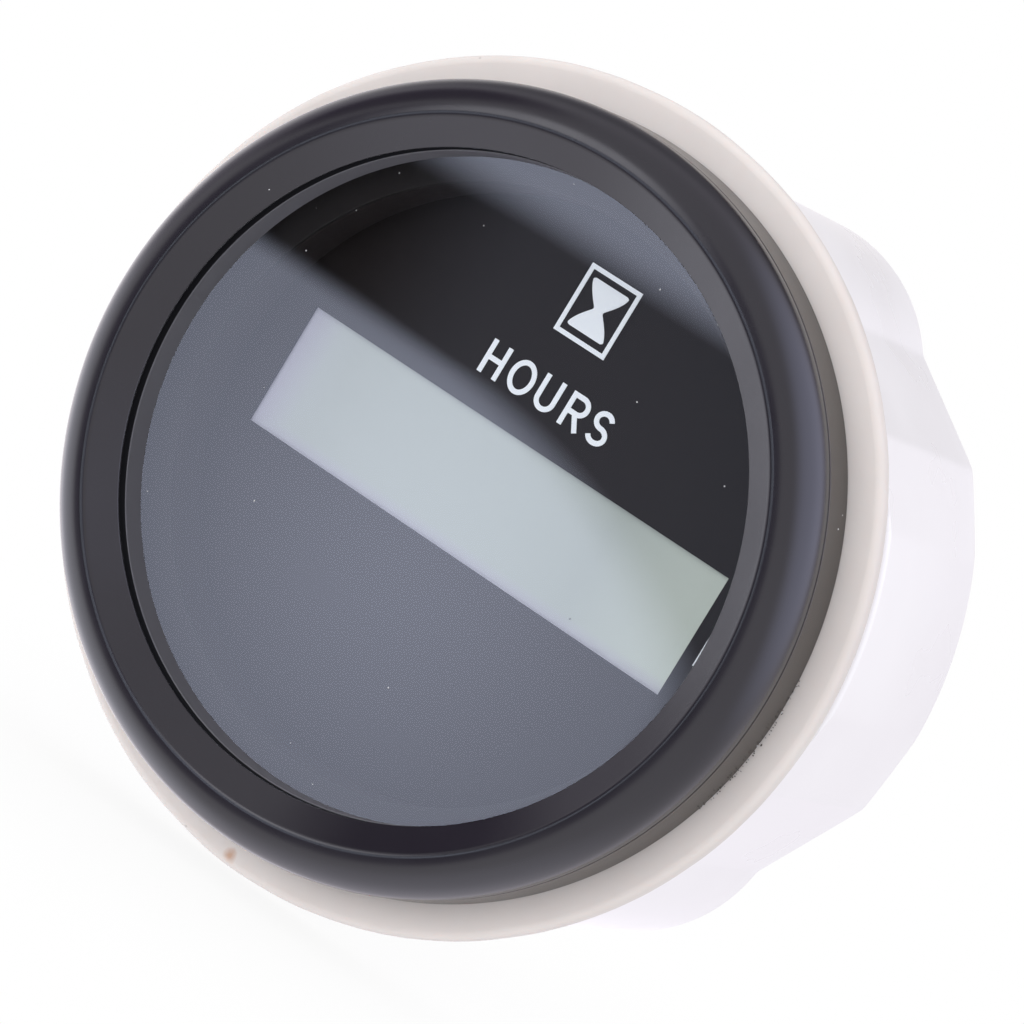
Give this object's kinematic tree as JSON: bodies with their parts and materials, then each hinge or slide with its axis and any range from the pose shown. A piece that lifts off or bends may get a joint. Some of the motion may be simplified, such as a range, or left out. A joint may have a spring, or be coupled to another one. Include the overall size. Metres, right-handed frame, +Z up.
{
  "type": "panel hour meter",
  "caption": "Round panel hour meter: rolled black bezel, flat lens over a deep dial with a blank display, soft gasket, lobed ring nut on the barrel and rear blade terminals.",
  "frame": {"origin": "centre of the panel seat, where the axis meets the plane of the gasket's rear face", "axes": "+Y along the barrel to the rear, the dial faces -Y, +Z is up on the dial and +X to its right"},
  "size_m": [0.0679, 0.0517, 0.0678],
  "materials": {
    "bezel_paint": "satin black paint",
    "clear_lens": "clear, flat, polished",
    "black_rubber": "matt",
    "black_plastic": "matt",
    "dial_black": "matt black print",
    "display_glass": "pale grey-green reflective cell",
    "diffuser": "milky",
    "white_plastic": "moulded gloss",
    "board_green": "solder mask",
    "bright_steel": "plated",
    "capacitor_can": "plain can",
    "blade_brass": "rolled strip",
    "gasket_white": "translucent warm white, soft"
  },
  "bodies": {
    "meter": {"bezel": "bezel_paint", "lens": "clear_lens", "lens_seal": "black_rubber", "dial_spacer": "black_plastic", "dial_plate": "dial_black", "lcd_cell": "display_glass", "light_guide": "diffuser", "contact_strips": "black_rubber", "display_frame": "white_plastic", "backlight_lamps": "diffuser", "circuit_board": "board_green", "microcontroller": "black_plastic", "memory_chip": "black_plastic", "crystal": "bright_steel", "supply_capacitor": "capacitor_can", "voltage_regulator": "black_plastic", "protection_diode": "black_plastic", "chip_resistors": "black_plastic", "board_screws": "bright_steel", "housing": "white_plastic", "supply_terminal": "blade_brass", "ground_terminal": "blade_brass", "lamp_terminal": "blade_brass", "panel_gasket": "gasket_white"},
    "nut": {"ring_nut": "white_plastic"}
  },
  "joints": [
    {"name": "nut_travel", "type": "slide", "parent": "meter", "child": "nut", "axis": [0, 1, 0], "range_m": [0, 0.015]}
  ]
}
